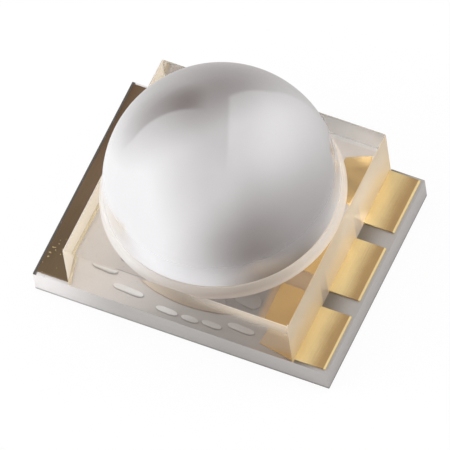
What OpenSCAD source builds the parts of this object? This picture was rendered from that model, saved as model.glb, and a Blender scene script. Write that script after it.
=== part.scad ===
// Surface-mount infrared emitter with a moulded dome lens, in millimetres.
// X runs from the left terminal strip to the three right pads, Y runs to the back and Z up.
// The origin is the centre of the underside, in the plane of the solder lands.

/* [Board] */
// Length of the board, left to right
board_l = 3.2; // [2.7:0.05:4.5]
// Width of the board, front to back
board_w = 2.4; // [2.0:0.05:3.2]
// Thickness of the laminate between its two foils
laminate_t = 0.29; // [0.15:0.01:0.6]
// Thickness of the plated copper foil on each side
foil_t = 0.025; // [0.02:0.005:0.07]
// Distance of every foil from the edges of the board
foil_inset = 0.03; // [0.02:0.005:0.08]

/* [Lens] */
// Bare board to the left of the moulding
bare_left = 0.39; // [0.25:0.01:0.5]
// Bare board to the right of the moulding
bare_right = 0.365; // [0.25:0.01:0.5]
// Height of the square foot of the moulding above the laminate
slab_h = 0.655; // [0.5:0.005:0.9]
// Gap between the dome's wall and the nearest side of its foot
dome_margin = 0.01; // [0.005:0.005:0.1]
// Height of the straight skirt under the half ball of the dome
skirt_h = 0.19; // [0.1:0.01:0.5]
// Width and height of the small flare where the skirt meets its foot
flare = 0.05; // [0.02:0.01:0.09]

/* [Top foil] */
// Gap between neighbouring right pads
pad_gap = 0.19; // [0.1:0.01:0.25]
// How far the hidden inner corner of an outer pad is cut back
pad_slant = 0.17; // [0.05:0.01:0.25]
// Gap between the right pads and the nearest printed mark, along the board
foil_mark_gap = 0.09; // [0.05:0.01:0.15]
// How far the left strip runs in under the edge of the lens
strip_tuck = 0.03; // [0.02:0.01:0.1]
// Width of the tongue that leads from the left strip to the bond wires
tongue_w = 0.4; // [0.3:0.01:0.5]
// Gap between the round die pad and the foils beside it
die_pad_gap = 0.12; // [0.08:0.01:0.2]

/* [Printed marks] */
// Distance from the dome's wall in to the middle of the printed marks
mark_inset = 0.19; // [0.15:0.01:0.25]
// Width of a printed mark, which has round ends
mark_w = 0.16; // [0.08:0.01:0.18]
// How far the printed marks are turned from the board's long edge
mark_turn = -9.5; // [-15:0.5:0]
// Thickness of the white ink
mark_t = 0.02; // [0.01:0.005:0.03]
// Gap between the printed marks and the die pad inside them
mark_pad_gap = 0.22; // [0.1:0.01:0.3]

/* [Underside] */
// Length of the left solder land, along the board
left_land_l = 0.55; // [0.4:0.01:0.7]
// Gap between the two solder lands
land_gap = 0.35; // [0.25:0.01:0.5]
// Distance of the solder lands from the edges of the board
land_inset = 0.1; // [0.05:0.01:0.15]
// Diameter of the filled holes that join the foils
via_d = 0.15; // [0.1:0.01:0.16]
// Distance from the middle of the die pad to its outer filled holes
heat_via_pitch = 0.35; // [0.25:0.01:0.45]

/* [Chip] */
// Side of the square emitter chip
chip_side = 0.5; // [0.4:0.01:0.7]
// Height of the emitter chip
chip_h = 0.15; // [0.1:0.01:0.2]
// Thickness of the silver paste under the chip
paste_t = 0.02; // [0.01:0.005:0.03]
// How far the paste squeezes out past the chip
paste_lip = 0.03; // [0.01:0.01:0.05]
// Diameter of the round middle of the chip's top contact
contact_d = 0.26; // [0.2:0.01:0.3]
// Width of the four contact arms
contact_arm_w = 0.03; // [0.02:0.005:0.05]
// Distance of the tips of the arms from the corners of the chip
contact_corner_gap = 0.08; // [0.06:0.01:0.12]
// Thickness of the top contact
contact_t = 0.01; // [0.01:0.005:0.02]

/* [Bond wires] */
// Diameter of a gold bond wire
wire_d = 0.03; // [0.02:0.005:0.04]
// Diameter of the ball that welds a wire to the chip
ball_d = 0.08; // [0.06:0.005:0.1]
// Height of that ball
ball_h = 0.03; // [0.02:0.005:0.04]
// Distance of each wire from the middle of the chip, front to back
wire_offset = 0.07; // [0.06:0.005:0.08]
// Straight rise of a wire above its ball
wire_rise = 0.08; // [0.04:0.01:0.15]
// Radius of the bend at the top of a wire
wire_bend_r = 0.08; // [0.05:0.01:0.12]

/* [Hidden] */

// Fineness of round shapes
$fn = 64;
// How far a cutting tool runs past the face it cuts
cut = 0.1;

// Heights of the layers, from the underside up
laminate_z = foil_t;
board_top = foil_t + laminate_t;
foil_top = board_top + foil_t;
slab_top = board_top + slab_h;
paste_top = foil_top + paste_t;
chip_top = paste_top + chip_h;
contact_top = chip_top + contact_t;

// Sides of the lens foot, which runs from the front to the back of the board
slab_left = bare_left - board_l / 2;
slab_right = board_l / 2 - bare_right;
slab_l = slab_right - slab_left;
dome_r = min(board_w / 2, -slab_left, slab_right) - dome_margin;
dome_z = slab_top + skirt_h;

// The printed marks lie on a ring round the dome's axis. Each is its distance from the first
// mark, along the ring, and the distance between the middles of its round ends
marks = [[0, 0.11], [0.45, 0.17], [0.93, 0.08], [1.18, 0.03], [1.41, 0.06], [1.73, 0.13]];
first_mark_angle = 207;
mark_r = dome_r - mark_inset;
function mark_angle(m) = first_mark_angle + m[0] / mark_r * 180 / PI;
last_mark = marks[len(marks) - 1];
last_mark_x = mark_r * cos(mark_angle(last_mark));
marks_right = last_mark_x + last_mark[1] / 2 * cos(mark_turn) + mark_w / 2;

// Top foil
foil_left = foil_inset - board_l / 2;
foil_right = board_l / 2 - foil_inset;
foil_half_w = board_w / 2 - foil_inset;
strip_end = slab_left + strip_tuck;
pads_start = marks_right + foil_mark_gap;
pad_w = (2 * foil_half_w - 2 * pad_gap) / 3;
pad_pitch = pad_w + pad_gap;
die_pad_r = min(mark_r - mark_w / 2 - mark_pad_gap, pads_start - die_pad_gap);
tongue_end = -die_pad_r - die_pad_gap;

// Underside
land_left = land_inset - board_l / 2;
land_right = board_l / 2 - land_inset;
land_w = board_w - 2 * land_inset;
left_land_end = land_left + left_land_l;
right_land_start = left_land_end + land_gap;

// Filled holes under the foil, where nothing of them shows
left_via_x = (foil_left + strip_end) / 2;
right_via_x = (pads_start + slab_right) / 2;

// Bond wires run from the chip's contact to the end of the tongue
stitch_d = 2 * wire_d;
wire_land_x = tongue_end - stitch_d;
wire_land_z = foil_top + wire_d / 2;
wire_top_z = contact_top + ball_h + wire_rise;
// Flats round a bond wire, which stand for its round section
wire_sides = 12;
// A wire is a hair thicker in its bend, and its straight stretches end inside the bend
bend_d = wire_d + 0.002;
bend_overlap = 0.01;

module laminate_hole(x, y) {
    translate([x, y, laminate_z]) cylinder(h = laminate_t, d = via_d);
}

// Three filled holes, one under each right pad or in line with it
module via_row(x) {
    for (i = [-1, 0, 1]) laminate_hole(x, i * pad_pitch);
}

module via_cross() {
    laminate_hole(0, 0);
    for (i = [-1, 1]) {
        laminate_hole(i * heat_via_pitch, 0);
        laminate_hole(0, i * heat_via_pitch);
    }
}

// Grey glass laminate, drilled for the filled holes
module board() {
    color([0.69, 0.67, 0.65]) difference() {
        translate([-board_l / 2, -board_w / 2, laminate_z]) cube([board_l, board_w, laminate_t]);
        via_row(left_via_x);
        via_row(right_via_x);
        via_cross();
    }
}

module left_vias() {
    color([0.72, 0.45, 0.2]) via_row(left_via_x);
}

module right_vias() {
    color([0.72, 0.45, 0.2]) via_row(right_via_x);
}

module heat_vias() {
    color([0.72, 0.45, 0.2]) via_cross();
}

// Gold-plated strip along the whole left edge, with a tongue under the dome for the bond wires
module left_terminal() {
    color([0.45, 0.38, 0.29]) union() {
        translate([foil_left, -foil_half_w, board_top])
            cube([strip_end - foil_left, 2 * foil_half_w, foil_t]);
        translate([foil_left + cut, -tongue_w / 2, board_top])
            cube([tongue_end - foil_left - cut, tongue_w, foil_t]);
    }
}

// A front or back pad, with its hidden inner corner cut back on the outer side
module outer_pad() {
    color([0.85, 0.65, 0.38])
        translate([0, 0, board_top]) linear_extrude(foil_t) polygon([
            [pads_start, pad_w / 2 + pad_gap],
            [foil_right, pad_w / 2 + pad_gap],
            [foil_right, foil_half_w],
            [slab_right, foil_half_w],
            [pads_start, foil_half_w - pad_slant]
        ]);
}

module right_pad_back() {
    outer_pad();
}

module right_pad_front() {
    mirror([0, 1, 0]) outer_pad();
}

module right_pad_middle() {
    color([0.85, 0.65, 0.38])
        translate([pads_start, -pad_w / 2, board_top])
            cube([foil_right - pads_start, pad_w, foil_t]);
}

// Round silver-plated pad that the chip sits on
module die_pad() {
    color([0.8, 0.8, 0.78]) translate([0, 0, board_top]) cylinder(h = foil_t, r = die_pad_r);
}

// One printed mark: a short dash with round ends
module mark(m) {
    a = mark_angle(m);
    translate([mark_r * cos(a), mark_r * sin(a), board_top]) rotate(mark_turn) {
        translate([-m[1] / 2, -mark_w / 2, 0]) cube([m[1], mark_w, mark_t]);
        for (end = [-1, 1]) translate([end * m[1] / 2, 0, 0]) cylinder(h = mark_t, d = mark_w);
    }
}

module printed_marks() {
    color([0.97, 0.97, 0.96]) for (m = marks) mark(m);
}

// A solder land on the underside, between two places along the board
module land(x0, x1) {
    color([0.85, 0.65, 0.38]) translate([x0, -land_w / 2, 0]) cube([x1 - x0, land_w, foil_t]);
}

module left_land() {
    land(land_left, left_land_end);
}

module right_land() {
    land(right_land_start, land_right);
}

module die_paste() {
    side = chip_side + 2 * paste_lip;
    color([0.6, 0.6, 0.6]) translate([-side / 2, -side / 2, foil_top]) cube([side, side, paste_t]);
}

module chip() {
    color([0.22, 0.21, 0.24])
        translate([-chip_side / 2, -chip_side / 2, paste_top]) cube([chip_side, chip_side, chip_h]);
}

// Round gold contact with four arms that reach towards the chip's corners
module chip_contact() {
    arm_l = chip_side * sqrt(2) - 2 * contact_corner_gap;
    color([0.9, 0.72, 0.4]) translate([0, 0, chip_top]) {
        cylinder(h = contact_t, d = contact_d);
        for (a = [45, 135]) rotate(a)
            translate([-arm_l / 2, -contact_arm_w / 2, 0]) cube([arm_l, contact_arm_w, contact_t]);
    }
}

// Ball, rise, bend and straight run down to a flat stitch on the tongue
module bond_wire(y) {
    bend_x = -wire_bend_r;
    run_x = bend_x - wire_land_x;
    run_z = wire_top_z - wire_land_z;
    reach = sqrt(run_x * run_x + run_z * run_z);
    slope = atan2(run_z, run_x) + asin(wire_bend_r / reach);
    straight = sqrt(reach * reach - wire_bend_r * wire_bend_r);
    color([0.9, 0.72, 0.4]) translate([0, y, 0]) {
        translate([0, 0, contact_top]) cylinder(h = ball_h, d = ball_d, $fn = wire_sides);
        translate([0, 0, contact_top + ball_h])
            cylinder(h = wire_rise + bend_overlap, d = wire_d, $fn = wire_sides);
        translate([bend_x, 0, wire_top_z]) rotate([90, 0, 0])
            rotate_extrude(angle = 90 + slope)
                translate([wire_bend_r, 0]) circle(d = bend_d, $fn = wire_sides);
        translate([wire_land_x, 0, wire_land_z]) rotate([0, 90 - slope, 0])
            cylinder(h = straight + bend_overlap, d = wire_d, $fn = wire_sides);
        translate([wire_land_x, 0, foil_top])
            cylinder(h = wire_d, d = stitch_d, $fn = wire_sides);
    }
}

module bond_wire_front() {
    bond_wire(-wire_offset);
}

module bond_wire_back() {
    bond_wire(wire_offset);
}

// Section of the dome: half ball over a straight skirt with a small flare at its foot
module dome_section() {
    intersection() {
        translate([0, dome_z]) circle(r = dome_r);
        translate([0, dome_z]) square(dome_r + cut);
    }
    polygon([
        [0, slab_top], [dome_r + flare, slab_top], [dome_r, slab_top + flare],
        [dome_r, dome_z], [0, dome_z]
    ]);
}

// Clear moulding: the square foot and the dome are one piece, cast round the chip
module lens() {
    color([0.84, 0.83, 0.83, 0.6]) difference() {
        union() {
            translate([slab_left, -board_w / 2, board_top])
                cube([slab_l, board_w, slab_top - board_top]);
            intersection() {
                rotate_extrude() dome_section();
                translate([slab_left, -board_w / 2, board_top])
                    cube([slab_l, board_w, slab_top + dome_z + dome_r]);
            }
        }
        left_terminal();
        right_pad_front();
        right_pad_middle();
        right_pad_back();
        die_pad();
        printed_marks();
        die_paste();
        chip();
        chip_contact();
        bond_wire_front();
        bond_wire_back();
    }
}

board();
left_terminal();
right_pad_front();
right_pad_middle();
right_pad_back();
die_pad();
printed_marks();
left_land();
right_land();
left_vias();
right_vias();
heat_vias();
die_paste();
chip();
chip_contact();
bond_wire_front();
bond_wire_back();
lens();
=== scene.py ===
import math

import bmesh
import bpy
from mathutils import Matrix, Vector


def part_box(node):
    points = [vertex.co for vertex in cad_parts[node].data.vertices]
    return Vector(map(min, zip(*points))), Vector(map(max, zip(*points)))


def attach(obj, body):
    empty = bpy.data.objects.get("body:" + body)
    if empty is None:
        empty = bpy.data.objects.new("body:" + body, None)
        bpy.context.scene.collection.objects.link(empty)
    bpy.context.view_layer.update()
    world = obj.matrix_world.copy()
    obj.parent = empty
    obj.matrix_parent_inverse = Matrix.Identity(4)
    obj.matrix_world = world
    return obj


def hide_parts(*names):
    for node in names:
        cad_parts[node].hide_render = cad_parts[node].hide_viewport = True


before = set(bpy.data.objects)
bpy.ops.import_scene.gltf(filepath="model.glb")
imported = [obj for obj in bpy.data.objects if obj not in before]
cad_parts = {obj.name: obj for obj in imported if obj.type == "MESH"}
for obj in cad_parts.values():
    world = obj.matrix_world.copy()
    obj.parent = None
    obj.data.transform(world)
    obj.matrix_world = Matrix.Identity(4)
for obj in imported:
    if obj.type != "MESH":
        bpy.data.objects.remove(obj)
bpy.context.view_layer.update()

# Camera: it looks down on the front right corner of the board from far off, as through a
# long lens, and leans a little, so the board's long edge runs down to the right.
mm = 0.001
camera_azimuth = math.radians(32.29)
camera_elevation = math.radians(58.16)
camera_lean = math.radians(-9.46)
camera_distance = 132.3 * mm
camera_target = Vector((0.106, -0.234, 0.767)) * mm
camera_back = Vector((
    math.sin(camera_azimuth) * math.cos(camera_elevation),
    -math.cos(camera_azimuth) * math.cos(camera_elevation),
    math.sin(camera_elevation),
))
camera_data = bpy.data.cameras.new("camera")
camera_data.lens = 1073
camera_data.sensor_width = 36
camera_data.clip_start = 20 * mm
camera_data.clip_end = 400 * mm
camera = bpy.data.objects.new("camera", camera_data)
camera.matrix_world = (
    Matrix.Translation(camera_target + camera_back * camera_distance)
    @ camera_back.to_track_quat("Z", "Y").to_matrix().to_4x4()
    @ Matrix.Rotation(camera_lean, 4, "Z")
)
bpy.context.scene.collection.objects.link(camera)
bpy.context.scene.camera = camera
bpy.context.scene.view_settings.view_transform = "Standard"


# Board: the grey glass laminate that carries everything, sawn out of a large panel, so its
# four sides show the plies of glass cloth and its top shows a faint weave.
class Socket:
    """An output of a shader node that takes part in Python sums, each of which adds its node."""

    def __init__(self, finish, socket):
        self.finish = finish
        self.socket = socket

    def sum(self, operation, first, second):
        return self.finish.add("ShaderNodeMath", {"operation": operation}, {0: first, 1: second})

    def __add__(self, value):
        return self.sum("ADD", self, value)

    __radd__ = __add__

    def __sub__(self, value):
        return self.sum("SUBTRACT", self, value)

    def __rsub__(self, value):
        return self.sum("SUBTRACT", value, self)

    def __mul__(self, value):
        return self.sum("MULTIPLY", self, value)

    __rmul__ = __mul__


class Finish:
    """One material or world, with one method that adds any node to it."""

    def __init__(self, name, kind=bpy.data.materials):
        self.material = kind.new(name)
        self.material.use_nodes = True
        self.tree = self.material.node_tree
        self.tree.nodes.clear()

    def add(self, kind, settings=None, inputs=None, output=0):
        node = self.tree.nodes.new(kind)
        for name, value in (settings or {}).items():
            setattr(node, name, value)
        for name, value in (inputs or {}).items():
            if isinstance(value, Socket):
                self.tree.links.new(value.socket, node.inputs[name])
            elif isinstance(value, tuple) and node.inputs[name].type == "RGBA":
                node.inputs[name].default_value = (*value, 1)
            else:
                node.inputs[name].default_value = value
        return Socket(self, node.outputs[output]) if node.outputs else None

    def place(self):
        return self.add("ShaderNodeTexCoord", {}, {}, "Object")

    def along(self, axis):
        """How far along X, Y or Z a point of the piece lies, in metres."""
        return self.add("ShaderNodeSeparateXYZ", {}, {"Vector": self.place()}, axis)

    def noise(self, size, detail, stretch=(1, 1, 1)):
        """Noise from 0 to 1 whose blotches are about size across, in metres, and may be stretched."""
        moved = self.add("ShaderNodeMapping", {}, {
            "Vector": self.place(), "Scale": tuple(1 / size / share for share in stretch),
        })
        return self.add("ShaderNodeTexNoise", {}, {"Vector": moved, "Scale": 1.0, "Detail": detail})

    def band(self, value, low, high, floor=0.0, top=1.0):
        """Changes smoothly from floor to top as value goes from low to high."""
        return self.add("ShaderNodeMapRange", {"interpolation_type": "SMOOTHSTEP"}, {
            "Value": value, "From Min": low, "From Max": high, "To Min": floor, "To Max": top,
        })

    def stripe(self, value, low, high, soft):
        """1 between low and high, and 0 outside, with soft edges inside them."""
        return self.band(value, low, low + soft) * self.band(value, high - soft, high, 1, 0)

    def tint(self, share, first, second):
        """Colour first where share is 0, and second where it is 1."""
        return self.add("ShaderNodeMix", {"data_type": "RGBA"}, {0: share, 6: first, 7: second}, 2)

    def bump(self, height, depth):
        """Normal of a surface raised by height, from 0 to 1, times depth in metres."""
        return self.add("ShaderNodeBump", {}, {"Height": height, "Distance": depth, "Strength": 1.0})

    def slanted(self, low, high):
        """0 where the surface is seen straight on, and 1 where it is seen more along itself."""
        slant = self.add("ShaderNodeLayerWeight", {}, {"Blend": 0.5}, "Facing")
        return self.band(slant, low, high)

    def surface(self, **inputs):
        named = {name.replace("_", " "): value for name, value in inputs.items()}
        return self.add("ShaderNodeBsdfPrincipled", {}, named)

    def done(self, shader):
        self.add("ShaderNodeOutputMaterial", {}, {"Surface": shader})
        return self.material


weld_gap = 0.0001 * mm


def node_copy(node):
    """A CAD node's mesh as a bmesh, with its loose triangles joined and its flat faces whole."""
    shape = bmesh.new()
    shape.from_mesh(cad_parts[node].data)
    bmesh.ops.remove_doubles(shape, verts=shape.verts, dist=weld_gap)
    bmesh.ops.dissolve_limit(
        shape, angle_limit=math.radians(1), verts=shape.verts, edges=shape.edges
    )
    return shape


def round_edges(shape, radius, segments=2, chosen=lambda edge: True):
    """Rounds the sharp edges of a shape, or those of them that are chosen."""
    sharp_angle = math.radians(50)
    sharp = [e for e in shape.edges if e.calc_face_angle(0) > sharp_angle and chosen(e)]
    bmesh.ops.bevel(
        shape, geom=sharp, offset=radius, segments=segments, profile=0.5,
        affect="EDGES", material=-1, clamp_overlap=True,
    )


def set_piece(name, shape, material, node):
    """Turns a finished bmesh into a piece that stands for a CAD node and rides on the part."""
    crease_angle = math.radians(35)
    for face in shape.faces:
        face.smooth = True
    for edge in shape.edges:
        edge.smooth = edge.calc_face_angle(0) < crease_angle
    mesh = bpy.data.meshes.new(name)
    shape.to_mesh(mesh)
    shape.free()
    mesh.materials.append(material)
    piece = bpy.data.objects.new(name, mesh)
    bpy.context.scene.collection.objects.link(piece)
    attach(piece, "root")
    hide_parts(node)
    return piece


board_edge = 0.008 * mm
board_low, board_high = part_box("board")
board_top = board_high.z
lens_left, lens_right = (corner.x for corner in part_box("lens"))
weave_pitch = 0.16 * mm


def on_side(edge):
    """Whether an edge lies on one of the board's four sawn sides."""
    return all(
        abs(abs(v.co.x) - board_high.x) < weld_gap or abs(abs(v.co.y) - board_high.y) < weld_gap
        for v in edge.verts
    )


def laminate_finish():
    finish = Finish("laminate")
    x, y, z = (finish.along(axis) for axis in "XYZ")
    yarn = 2 * math.pi / weave_pitch
    across = finish.add("ShaderNodeMath", {"operation": "SINE"}, {0: x * yarn})
    along = finish.add("ShaderNodeMath", {"operation": "SINE"}, {0: y * yarn})
    weave = across * along * 0.5 + 0.5
    plies = finish.noise(0.045 * mm, 3, (14, 14, 1))
    grain = finish.noise(0.03 * mm, 4)
    cloudy = finish.noise(0.8 * mm, 2)

    # Bare laminate: painted light at the left, darker at the right, painted shadow along the resin's
    # right wall and along the foot of the sides, and a dark line at the left rim
    mixed = weave * 0.12 + plies * 0.45 + cloudy * 0.3
    bare = finish.tint(mixed, (0.38, 0.36, 0.345), (0.48, 0.455, 0.435))
    bare = finish.tint(finish.band(x, board_low.x, board_low.x + 1 * mm), (0.82, 0.79, 0.775), bare)
    bare = finish.tint(finish.band(x, 0.4 * mm, 1.55 * mm), bare, (0.49, 0.465, 0.45))
    on_top = finish.band(z, board_top - 0.01 * mm, board_top)
    wall = lens_right + 0.005 * mm
    wall_shadow = finish.band(x, wall, wall + 0.3 * mm, 1, 0.2) * finish.band(x, wall - 0.01 * mm, wall)
    bare = finish.tint(wall_shadow * on_top, bare, (0.19, 0.16, 0.125))
    foot_shadow = finish.band(z, 0.035 * mm, 0.07 * mm, 0.8, 0)
    bare = finish.tint(foot_shadow, bare, (0.16, 0.15, 0.14))
    left_rim = finish.band(x, board_low.x + 0.03 * mm, board_low.x + 0.05 * mm, 1, 0)
    left_rim = left_rim * finish.band(z, board_top - 0.02 * mm, board_top - 0.01 * mm)
    bare = finish.tint(left_rim, bare, (0.1, 0.09, 0.08))

    # Under the resin: painted light at the left, painted shadow of the dome below and right of it,
    # darker where seen straight through the top, tan beside the pads, and a painted highlight along
    # the back
    slanted = finish.slanted(0.15, 0.35)
    dome_shadow = finish.band(x, -1.1 * mm, 0.1 * mm) * finish.band(y, -0.2 * mm, 0.8 * mm, 1, 0)
    shadow_tone = finish.tint(slanted, (0.38, 0.345, 0.33), (0.56, 0.53, 0.515))
    under = finish.tint(dome_shadow, (0.93, 0.885, 0.865), shadow_tone)
    tan = finish.band(x, 0.72 * mm, 0.8 * mm, 0, 0.9) * finish.band(y, 0.1 * mm, 0.4 * mm, 1, 0)
    under = finish.tint(tan * (1 - slanted), under, (0.7, 0.48, 0.27))
    rear_highlight = finish.band(y, board_high.y - 0.05 * mm, board_high.y - 0.035 * mm)
    under = finish.tint(rear_highlight, under, (1, 1, 1))
    cast = finish.stripe(x, lens_left - 0.01 * mm, lens_right + 0.01 * mm, 0.02 * mm) * on_top

    speck = finish.band(grain, 0.62, 0.75)
    return finish.done(finish.surface(
        Base_Color=finish.tint(speck * 0.35, finish.tint(cast, bare, under), (0.42, 0.4, 0.38)),
        Roughness=grain * 0.25 + 0.35,
        Normal=finish.bump(plies * 0.6 + grain * 0.4, 0.004 * mm),
    ))


board_shape = node_copy("board")
round_edges(board_shape, board_edge, chosen=on_side)
set_piece("grey_board", board_shape, laminate_finish(), "board")


# Foil: copper pads etched out of one sheet and plated with nickel and gold, so their edges are
# rounded and their tops a little uneven. The left strip is dull, and the three pads are bright, and
# both carry painted reflections.
foil_edge = 0.01 * mm
foil_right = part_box("right_pad_front")[1].x


def gold_finish():
    """Dull bronze on the left strip with a painted reflection, darker at the front and paler at the
    back; orange under the resin, duller at the back and paler at the left and where seen slanting
    through the front; and on the pads bright gold with a painted reflection, pale beside the resin's
    wall and deeper further out, and a painted highlight at the rim."""
    finish = Finish("plated_gold")
    x, y = finish.along("X"), finish.along("Y")
    cloudy = finish.noise(0.35 * mm, 3)
    rolled = finish.noise(0.012 * mm, 2, (1, 18, 1))
    grain = finish.noise(0.018 * mm, 4)

    # Painted reflection on the pads: pale where they mirror the resin's wall, darker further out, and
    # a painted highlight at the rim
    rim = finish.band(x, foil_right - 0.03 * mm, foil_right - 0.015 * mm, 1, 0)
    out = finish.band(x, lens_right + 0.05 * mm, lens_right + 0.4 * mm) * rim
    dark_reflection_and_grain = finish.band(out + cloudy * 0.3 + rolled * 0.15 + grain * 0.1, 0.15, 1.05)
    pads = finish.tint(dark_reflection_and_grain, (1.0, 0.79, 0.4), (0.56, 0.36, 0.16))

    back = finish.band(y, 0.1 * mm, 0.8 * mm)
    above = finish.tint(back, (1.0, 0.62, 0.2), (0.78, 0.53, 0.21))
    under = finish.tint(finish.slanted(0.25, 0.4), above, (1.0, 0.8, 0.56))
    tucked = finish.band(x, -1.0 * mm, -0.9 * mm, 1, 0)
    under = finish.tint(tucked, under, (1.0, 0.86, 0.6))

    mixed = cloudy * 0.5 + rolled * 0.5
    # Painted reflection on the left strip: darker at the front, paler at the back
    bronze_in_dark_reflection = finish.tint(mixed, (0.33, 0.235, 0.145), (0.21, 0.15, 0.09))
    bronze_in_pale_reflection = finish.tint(mixed, (0.68, 0.48, 0.32), (0.45, 0.33, 0.21))
    strip = finish.tint(finish.band(y, -1 * mm, 0.8 * mm), bronze_in_dark_reflection, bronze_in_pale_reflection)
    speck = finish.band(finish.noise(0.04 * mm, 1), 0.7, 0.72)
    speck = speck * finish.band(y, -0.9 * mm, -0.6 * mm, 1, 0)
    strip = finish.tint(speck, strip, (0.9, 0.75, 0.4))

    cast = finish.band(x, lens_left - 0.005 * mm, lens_left + 0.005 * mm)
    bare = finish.band(x, lens_right - 0.005 * mm, lens_right + 0.005 * mm)
    return finish.done(finish.surface(
        Base_Color=finish.tint(bare, finish.tint(cast, strip, under), pads),
        Metallic=1 - cast * 0.3 - cast * (1 - bare) * 0.25 + bare * (dark_reflection_and_grain - 1) * 0.3,
        Roughness=grain * 0.06 + cloudy * 0.06 + 0.13,
        Normal=finish.bump(rolled * 0.7 + grain * 0.3, 0.0004 * mm),
    ))


plated_gold = gold_finish()
for node, name, slot in (
    ("left_terminal", "left_strip", "dark_gold"),
    ("right_pad_front", "front_pad", "gold_plate"),
    ("right_pad_middle", "middle_pad", "gold_plate"),
    ("right_pad_back", "back_pad", "gold_plate"),
    ("left_land", "left_solder_land", "gold_plate"),
    ("right_land", "right_solder_land", "gold_plate"),
):
    foil = node_copy(node)
    round_edges(foil, foil_edge)
    set_piece(name, foil, plated_gold, node)


# Die pad: the silver-plated round under the dome that the chip is fixed to. It is etched out of
# the same foil, and shows tan through the front of the lens.
def silver_finish():
    finish = Finish("die_pad_silver")
    grain = finish.noise(0.02 * mm, 4)
    cloudy = finish.noise(0.3 * mm, 2)
    shaded = finish.band(finish.along("X"), -0.6 * mm, 0.1 * mm)
    return finish.done(finish.surface(
        Base_Color=finish.tint(cloudy * 0.3 + shaded, (0.98, 0.88, 0.75), (0.5, 0.4, 0.3)),
        Metallic=0.6,
        Roughness=grain * 0.2 + 0.3,
        Normal=finish.bump(grain, 0.002 * mm),
    ))


die_round = node_copy("die_pad")
round_edges(die_round, foil_edge)
set_piece("round_die_pad", die_round, silver_finish(), "die_pad")


# Printed marks: six short dashes of white ink, screen-printed on the board in a ring round the dome.
# They are seen through the front of the lens, and hardly at all through its top, where they are
# painted in the board's painted shade.
ink_edge = 0.008 * mm
ink_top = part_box("printed_marks")[1].z


def ink_finish():
    """White ink that is greyer towards the right, and that seen from above takes the board's painted
    shade.
    """
    finish = Finish("white_ink")
    grain = finish.noise(0.02 * mm, 3)
    worn = finish.noise(0.3 * mm, 1)
    grey_share = finish.band(finish.along("X"), -0.25 * mm, 0.3 * mm) * 0.8
    grey_share = grey_share + finish.band(worn, 0.5, 0.7) * 0.2 + grain * 0.1
    ink = finish.tint(grey_share, (1, 1, 1), (0.72, 0.7, 0.69))
    on_top = finish.band(finish.along("Z"), ink_top - 0.003 * mm, ink_top - 0.001 * mm)
    return finish.done(finish.surface(
        Base_Color=finish.tint(finish.slanted(0.15, 0.35) * on_top, (0.4, 0.365, 0.35), ink),
        Roughness=0.6,
        Normal=finish.bump(grain, 0.002 * mm),
    ))


dashes = node_copy("printed_marks")
round_edges(dashes, ink_edge)
set_piece("white_dashes", dashes, ink_finish(), "printed_marks")


# Lens: one clear moulding, cast over the chip and the foils. Its foot is a low block with sharp
# corners, flush with the board's front and back. A short clear skirt on it carries the dome,
# half a ball that shines like pearly silver from outside.
lens_low, lens_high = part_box("lens")
foot_top = lens_low.z + 0.655 * mm
foot_edge = 0.02 * mm
skirt_top = foot_top + 0.19 * mm
skirt_radius = lens_high.z - skirt_top
skirt_root = 0.1 * mm
shoulder = 0.016 * mm
collar = 0.05 * mm
flare = 0.04 * mm
ball_radius = skirt_radius - shoulder
# How far faces that would lie in one plane are kept apart before the foot and dome are joined
sunk = 0.003 * mm
# A height less than that of any face of the skirt or the dome
hair = 0.001 * mm


def foot_shape():
    shape = bmesh.new()
    bmesh.ops.create_cube(shape, size=1.0)
    low = Vector((lens_low.x, lens_low.y, lens_low.z - sunk))
    high = Vector((lens_high.x, lens_high.y, foot_top))
    bmesh.ops.scale(shape, vec=high - low, verts=shape.verts)
    bmesh.ops.translate(shape, vec=(low + high) / 2, verts=shape.verts)
    round_edges(shape, foot_edge, 3, lambda e: max(v.co.z for v in e.verts) > foot_top - weld_gap)
    return shape


def cut_off(shape, point, outwards):
    """Cuts away what lies outwards of a plane through a point, and gives the open edges left."""
    cut = bmesh.ops.bisect_plane(
        shape, geom=shape.verts[:] + shape.edges[:] + shape.faces[:], dist=weld_gap,
        plane_co=point, plane_no=outwards, clear_outer=True,
    )["geom_cut"]
    return [g for g in cut if isinstance(g, bmesh.types.BMEdge) and g.is_boundary]


def pull_rim(shape, rim, drop, widen):
    """Pulls a new ring of wall out of an open rim, down and outwards, and gives its new rim."""
    made = bmesh.ops.extrude_edge_only(shape, edges=rim)["geom"]
    corners = [g for g in made if isinstance(g, bmesh.types.BMVert)]
    share = 1 + widen / corners[0].co.xy.length
    bmesh.ops.scale(shape, vec=(share, share, 1), verts=corners)
    bmesh.ops.translate(shape, vec=(0, 0, -drop), verts=corners)
    return [g for g in made if isinstance(g, bmesh.types.BMEdge) and g.is_boundary]


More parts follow.
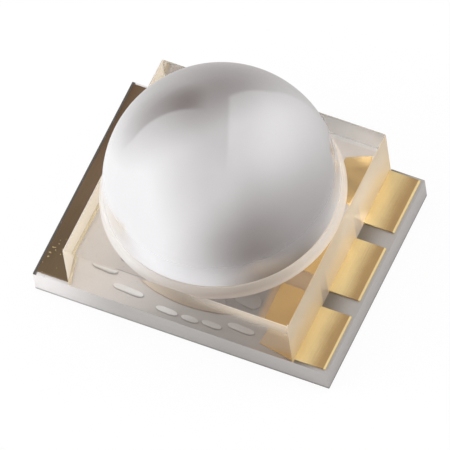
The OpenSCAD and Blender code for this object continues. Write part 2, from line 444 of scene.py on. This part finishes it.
def dome_shape():
    """Half a ball, a shoulder, the skirt and its flare, trimmed to the foot's four sides."""
    shape = bmesh.new()
    bmesh.ops.create_uvsphere(shape, u_segments=256, v_segments=128, radius=ball_radius)
    cut_off(shape, (0, 0, 0), (0, 0, -1))
    bmesh.ops.translate(shape, vec=(0, 0, skirt_top + shoulder), verts=shape.verts)
    rim = [e for e in shape.edges if e.is_boundary]
    skirt_wall = skirt_top - foot_top - collar - shoulder * 1.4 - flare
    for drop, widen in (
        (shoulder + collar, 0),  # collar
        (0, shoulder * 0.5),  # shoulder, in three steps
        (shoulder * 0.4, shoulder * 0.4),
        (shoulder, shoulder * 0.1),
        (skirt_wall, 0),  # straight skirt
        (flare * 0.62, flare * 0.12),  # flare, in three steps
        (flare * 0.26, flare * 0.26),
        (flare * 0.12, flare * 0.62),
        (skirt_root, 0),  # root inside the foot
    ):
        rim = pull_rim(shape, rim, drop, widen)
    bmesh.ops.holes_fill(shape, edges=rim)
    for point, outwards in (
        ((lens_high.x - sunk, 0, 0), (1, 0, 0)),
        ((lens_low.x + sunk, 0, 0), (-1, 0, 0)),
        ((0, lens_high.y - sunk, 0), (0, 1, 0)),
        ((0, lens_low.y + sunk, 0), (0, -1, 0)),
    ):
        open_edges = cut_off(shape, point, outwards)
        if open_edges:
            bmesh.ops.holes_fill(shape, edges=open_edges)
    return shape


def joined(first, second):
    """Two closed shapes made one by the boolean modifier, so that no wall is left inside."""
    objects = []
    for shape in (first, second):
        mesh = bpy.data.meshes.new("lens_blank")
        bmesh.ops.recalc_face_normals(shape, faces=shape.faces)
        shape.to_mesh(mesh)
        shape.free()
        objects.append(bpy.data.objects.new("lens_blank", mesh))
        bpy.context.scene.collection.objects.link(objects[-1])
    union = objects[0].modifiers.new("union", "BOOLEAN")
    union.operation = "UNION"
    union.solver = "EXACT"
    union.object = objects[1]
    bpy.context.view_layer.update()
    made = objects[0].evaluated_get(bpy.context.evaluated_depsgraph_get())
    shape = bmesh.new()
    shape.from_mesh(made.data)
    for blank in objects:
        bpy.data.objects.remove(blank)
    return shape


def clear_finish():
    finish = Finish("clear_foot")
    ripple = finish.noise(0.4 * mm, 2)
    dust = finish.band(finish.noise(0.02 * mm, 2), 0.68, 0.8)
    return finish.done(finish.surface(
        Base_Color=finish.tint(ripple, (0.99, 0.98, 0.97), (0.96, 0.951, 0.941)),
        Roughness=dust * 0.15 + ripple * 0.03 + 0.01,
        IOR=1.5,
        Transmission_Weight=0.97,
        Normal=finish.bump(ripple, 0.003 * mm),
    ))


def matt_finish(name, skin):
    """Resin with a fine matt skin. The skin gives the tone of the light that it throws back, the
    tone of the light that it lets through, its share of the surface, and how much it lets through."""
    finish = Finish(name)
    tone, glow, share, through = skin(finish)
    ripple = finish.noise(0.4 * mm, 2)
    clear = finish.surface(
        Base_Color=(0.98, 0.96, 0.94), Roughness=ripple * 0.05 + 0.06, IOR=1.5,
        Transmission_Weight=1.0,
    )
    milk = finish.add("ShaderNodeMixShader", {}, {
        0: through,
        1: finish.surface(Base_Color=tone, Roughness=0.6, Specular_IOR_Level=0.1),
        2: finish.add("ShaderNodeBsdfTranslucent", {}, {"Color": glow}),
    })
    return finish.done(finish.add("ShaderNodeMixShader", {}, {0: share, 1: clear, 2: milk}))


def end_skin(finish):
    """Cream on the left end; on the right end, peach as painted light from the gold pads, strongest
    at the bottom, with painted shade over the gaps between the pads.
    """
    x, y, z = (finish.along(axis) for axis in "XYZ")
    pad_low, pad_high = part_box("right_pad_middle")
    pad_gap, soft = 0.16 * mm, 0.03 * mm
    gap_shade = finish.stripe(y, pad_high.y, pad_high.y + pad_gap, soft)
    gap_shade = gap_shade + finish.stripe(y, pad_low.y - pad_gap, pad_low.y, soft)
    right = finish.band(x, 0, 1 * mm)
    lower = finish.tint(right, (1.0, 0.96, 0.92), (1.0, 0.72, 0.34))
    lower = finish.tint(gap_shade * right, lower, (0.4, 0.32, 0.27))
    upper = finish.tint(right, (1.0, 0.97, 0.95), (1.0, 0.84, 0.62))
    tone = finish.tint(finish.band(z, lens_low.z, foot_top - 0.1 * mm), lower, upper)
    return tone, (1.0, 0.87, 0.66), 0.95 - right * 0.22, 0.5


def skirt_skin(finish):
    """Painted light, white, at the left, cream at the right, and painted shade at the front right,
    deepest by the foot.
    """
    x, y, z = (finish.along(axis) for axis in "XYZ")
    tone = finish.tint(finish.band(x, -0.6 * mm, 1.1 * mm), (1.0, 0.99, 0.98), (0.97, 0.88, 0.78))
    # Painted shade at the front right, deepest by the foot
    front = finish.band(x * 0.35 - y * 0.94, 0.75 * mm, 1.25 * mm)
    low = finish.band(z, foot_top, foot_top + 0.11 * mm, 1, 0) * front
    tone = finish.tint(front * 0.6 + low * 0.2, tone, (0.4, 0.33, 0.29))
    return tone, (0.95, 0.9, 0.84), 0.9, 0.3


def edge_skin(finish):
    """Painted highlights along the left edge and the right part of the front edge, and faint ones
    elsewhere.
    """
    x, y = finish.along("X"), finish.along("Y")
    tone = finish.tint(finish.band(x, -1 * mm, 1 * mm), (1.0, 0.98, 0.96), (1.0, 0.91, 0.78))
    left = finish.band(x, lens_left + 0.02 * mm, lens_left + 0.04 * mm, 0.6, 0)
    front = finish.band(y, lens_low.y + 0.03 * mm, lens_low.y + 0.05 * mm, 0.9, 0)
    front = front * finish.band(x, -0.1 * mm, 0.7 * mm, 0.04, 1)
    back = finish.band(y, lens_high.y - 0.05 * mm, lens_high.y - 0.03 * mm, 0, 0.2)
    return tone, (1.0, 0.95, 0.88), left + front + back, 0.5


def front_skin(finish):
    """Clear, with a painted cream highlight under the right part of the top edge."""
    x, z = finish.along("X"), finish.along("Z")
    tone = finish.tint(finish.band(x, 0, 1 * mm), (1.0, 0.95, 0.9), (1.0, 0.87, 0.7))
    top_edge_highlight = finish.band(x, -0.3 * mm, 0.9 * mm) * finish.band(z, foot_top - 0.22 * mm, foot_top)
    return tone, (1.0, 0.91, 0.8), top_edge_highlight * 0.7, 0.4


def back_skin(finish):
    """A faint haze, with painted shade behind the dome, lighter towards the corner of the right wall.
    """
    corner = finish.band(finish.along("X"), 0.4 * mm, 1.1 * mm)
    tone = finish.tint(corner, (0.33, 0.3, 0.29), (0.85, 0.82, 0.8))
    return tone, (0.6, 0.56, 0.54), 0.3, 0.3


def pearl_finish():
    """Pearly silver from outside, duller round the rim and with painted shade there at the right, and
    clear from inside."""
    finish = Finish("pearly_dome")
    x, y, z = (finish.along(axis) for axis in "XYZ")
    cloudy = finish.noise(0.9 * mm, 1)
    mottled = finish.noise(0.12 * mm, 2)
    rim_dullness = 0.25
    rim = finish.band(z, skirt_top - collar, skirt_top + 0.4 * mm, rim_dullness, 0)
    low_dullness = finish.band(z, skirt_top + 0.2 * mm, skirt_top + 0.6 * mm, 0.2, 0.08)
    # Painted shade on the rim at the right
    right = x * 0.91 + y * 0.41
    edge = finish.band(right, -0.15 * mm, 0.5 * mm) * finish.band(right, 0.75 * mm, 1.2 * mm, 1, 0)
    pearly = finish.tint(cloudy * 0.6 + mottled * 0.4, (0.93, 0.92, 0.93), (0.86, 0.85, 0.865))
    clear = finish.surface(
        Base_Color=(0.97, 0.97, 0.97), Roughness=0.02, IOR=1.5, Transmission_Weight=1.0,
    )
    pearl = finish.surface(
        Base_Color=finish.tint(edge * rim * (1 / rim_dullness), pearly, (0.36, 0.32, 0.29)),
        Metallic=0.9 - rim * 2,
        Roughness=mottled * 0.04 + rim + low_dullness,
        Coat_Weight=finish.band(z, skirt_top + 0.35 * mm, skirt_top + 0.75 * mm),
        Coat_Roughness=0.03,
        Normal=finish.bump(cloudy, 0.002 * mm),
    )
    inside = finish.add("ShaderNodeNewGeometry", {}, {}, "Backfacing")
    return finish.done(finish.add("ShaderNodeMixShader", {}, {0: inside, 1: pearl, 2: clear}))


lens_finishes = {
    "foot": clear_finish(),
    "end": matt_finish("matt_end", end_skin),
    "skirt": matt_finish("milky_skirt", skirt_skin),
    "dome": pearl_finish(),
    "edge": matt_finish("highlit_edge", edge_skin),
    "front": matt_finish("front_face", front_skin),
    "back": matt_finish("back_face", back_skin),
}


def lens_part(face):
    """The name of the part of the lens that a face belongs to."""
    middle, normal = face.calc_center_median(), face.normal
    upright, level = 0.7, 0.99
    if middle.z > skirt_top - collar + hair:
        return "dome"
    if middle.z > foot_top + hair and middle.xy.length < skirt_radius + flare:
        return "skirt"
    if abs(normal.x) > upright:
        return "end"
    if abs(normal.y) > upright and middle.z < foot_top:
        return "front" if normal.y < 0 else "back"
    if middle.z > foot_top - foot_edge and max(abs(part) for part in normal) < level:
        return "edge"
    return "foot"


lens_shape = joined(foot_shape(), dome_shape())
lens_shape.normal_update()
for face in lens_shape.faces:
    face.material_index = list(lens_finishes).index(lens_part(face))
foot_finish, *other_finishes = lens_finishes.values()
lens = set_piece("clear_lens", lens_shape, foot_finish, "lens")
for finish in other_finishes:
    lens.data.materials.append(finish)


# Chip: the small dark crystal that gives the light, glued down with silver paste. Two gold wires
# lead from its top contact to the left strip, and copper fills the holes through the board.
def plain_finish(name, colour, metallic, roughness, grain_size):
    finish = Finish(name)
    grain = finish.noise(grain_size, 3)
    darker = tuple(0.8 * part for part in colour)
    return finish.done(finish.surface(
        Base_Color=finish.tint(grain, colour, darker),
        Metallic=metallic,
        Roughness=grain * 0.2 + roughness,
        Normal=finish.bump(grain, grain_size / 12),
    ))


bright_gold = plain_finish("bright_gold", (0.93, 0.7, 0.36), 1.0, 0.12, 0.01 * mm)
chip_crystal = plain_finish("chip_crystal", (0.05, 0.045, 0.06), 0.0, 0.1, 0.01 * mm)
silver_paste = plain_finish("silver_paste", (0.5, 0.5, 0.5), 0.6, 0.4, 0.01 * mm)
copper_fill = plain_finish("copper_fill", (0.8, 0.42, 0.22), 1.0, 0.3, 0.02 * mm)
for material, nodes in (
    (chip_crystal, ("chip",)),
    (silver_paste, ("die_paste",)),
    (bright_gold, ("chip_contact", "bond_wire_front", "bond_wire_back")),
    (copper_fill, ("left_vias", "right_vias", "heat_vias")),
):
    for node in nodes:
        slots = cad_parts[node].data.materials
        slots.clear()
        slots.append(material)


# Floor and light: a white table in a white room. Bright surfaces see the room as a grey tent
# that is white at the left, with a dark flag at the back left and a window behind the part.
table_size = 120 * mm
shadow_share = 0.07
room_strength = 0.75
lamp_distance = 30 * mm
lamp_size = 22 * mm


def ray(finish, kind):
    """1 for a ray of the named kind, and 0 for any other."""
    return finish.add("ShaderNodeLightPath", {}, {}, f"Is {kind} Ray")


def backdrop_rays(finish):
    """1 for a ray from the camera or off or through a bright surface, and 0 for any other."""
    rays = ray(finish, "Camera")
    for kind in ("Glossy", "Transmission"):
        rays = finish.add("ShaderNodeMath", {"operation": "MAXIMUM"}, {0: rays, 1: ray(finish, kind)})
    return rays


def bearing(azimuth, elevation):
    """The direction at an azimuth from +X round to +Y and a height over the table, in degrees."""
    around, up = math.radians(azimuth), math.radians(elevation)
    return Vector((
        math.cos(around) * math.cos(up), math.sin(around) * math.cos(up), math.sin(up),
    ))


def tent(finish, sight):
    """Strength of the tent in the direction of sight, for a ray off a bright surface."""

    def lobe(towards, low, high):
        """Rises from 0 to 1 as the sight turns towards a direction."""
        along = finish.add("ShaderNodeVectorMath", {"operation": "DOT_PRODUCT"}, {
            0: sight, 1: towards,
        }, "Value")
        return finish.band(along, low, high)

    walls = 0.63
    for azimuth, elevation, low, high, strength in (
        (-159, -23, -0.28, 1.57, 0.62),  # white side at the left
        (-10, -38, -0.25, 1.2, -0.62),  # dark side at the front right
        (138, 10, 0.33, 1.18, -0.46),  # dark side at the back left
        (28, -9, 0.22, 1.1, 0.275),  # pale side at the back right
        (-170, -55, 0.6, 0.95, 0.15),  # bright table at the left
        (-100, -45, 0.65, 1, 0.12),  # bright table at the front
    ):
        walls = walls + lobe(bearing(azimuth, elevation), low, high) * strength
    window = lobe(Vector((0.91, 0.37, -0.17)), -0.01, 0.04)
    window = window * lobe(Vector((0.9, -0.01, 0.44)), -0.02, 0.04)
    flag = lobe(Vector((0.1, 0.82, -0.57)), -0.03, 0.02) * lobe(bearing(160, 22), 0.78, 0.99)
    walls = walls - flag * (1 - window) * 0.22
    return walls + (window - 0.55) * lobe(bearing(80, 40), 0.3, 0.9) * 0.14


def room_light(finish, sight):
    """White for the camera and through clear resin, and the tent's tone off a bright surface."""
    darkness = ray(finish, "Glossy") * (1 - tent(finish, sight))
    return finish.tint(darkness, (1, 1, 1), (0.06, 0.025, 0.01))


def table_finish():
    """White all over for the camera, but for a share that keeps the shadow of the part."""
    finish = Finish("white_table")
    outward = finish.add("ShaderNodeVectorMath", {"operation": "SUBTRACT"}, {
        0: finish.place(), 1: Vector((0, 0, skirt_top)),
    })
    sight = finish.add("ShaderNodeVectorMath", {"operation": "NORMALIZE"}, {0: outward})
    matte = finish.add("ShaderNodeBsdfDiffuse", {}, {"Color": (0.95, 0.95, 0.95)})
    glow = finish.add("ShaderNodeEmission", {}, {"Color": room_light(finish, sight)})
    share = backdrop_rays(finish) * (1 - ray(finish, "Camera") * shadow_share)
    return finish.done(finish.add("ShaderNodeMixShader", {}, {0: share, 1: matte, 2: glow}))


floor_shape = bmesh.new()
bmesh.ops.create_grid(floor_shape, x_segments=1, y_segments=1, size=table_size)
floor_mesh = bpy.data.meshes.new("floor")
floor_shape.to_mesh(floor_mesh)
floor_shape.free()
floor_mesh.materials.append(table_finish())
floor = bpy.data.objects.new("floor", floor_mesh)
bpy.context.scene.collection.objects.link(floor)

room = Finish("white_room", bpy.data.worlds)
sight = room.add("ShaderNodeTexCoord", {}, {}, "Generated")
plain = room.add("ShaderNodeBackground", {}, {
    "Color": (0.98, 0.985, 1.0), "Strength": room_strength,
})
white = room.add("ShaderNodeBackground", {}, {"Color": room_light(room, sight)})
view = room.add("ShaderNodeMixShader", {}, {0: backdrop_rays(room), 1: plain, 2: white})
room.add("ShaderNodeOutputWorld", {}, {"Surface": view})
bpy.context.scene.world = room.material


def lamp(name, azimuth, elevation, radiance):
    """A square soft lamp that faces the part, and that no bright surface mirrors."""
    towards = bearing(azimuth, elevation)
    data = bpy.data.lights.new(name, "AREA")
    data.size = lamp_size
    data.energy = radiance * math.pi * lamp_size * lamp_size
    light = bpy.data.objects.new(name, data)
    light.location = camera_target + towards * lamp_distance
    light.rotation_euler = towards.to_track_quat("Z", "Y").to_euler()
    light.visible_glossy = False
    bpy.context.scene.collection.objects.link(light)


lamp("left_lamp", -150, 28, 2.8)
lamp("right_lamp", 35, 50, 1.6)
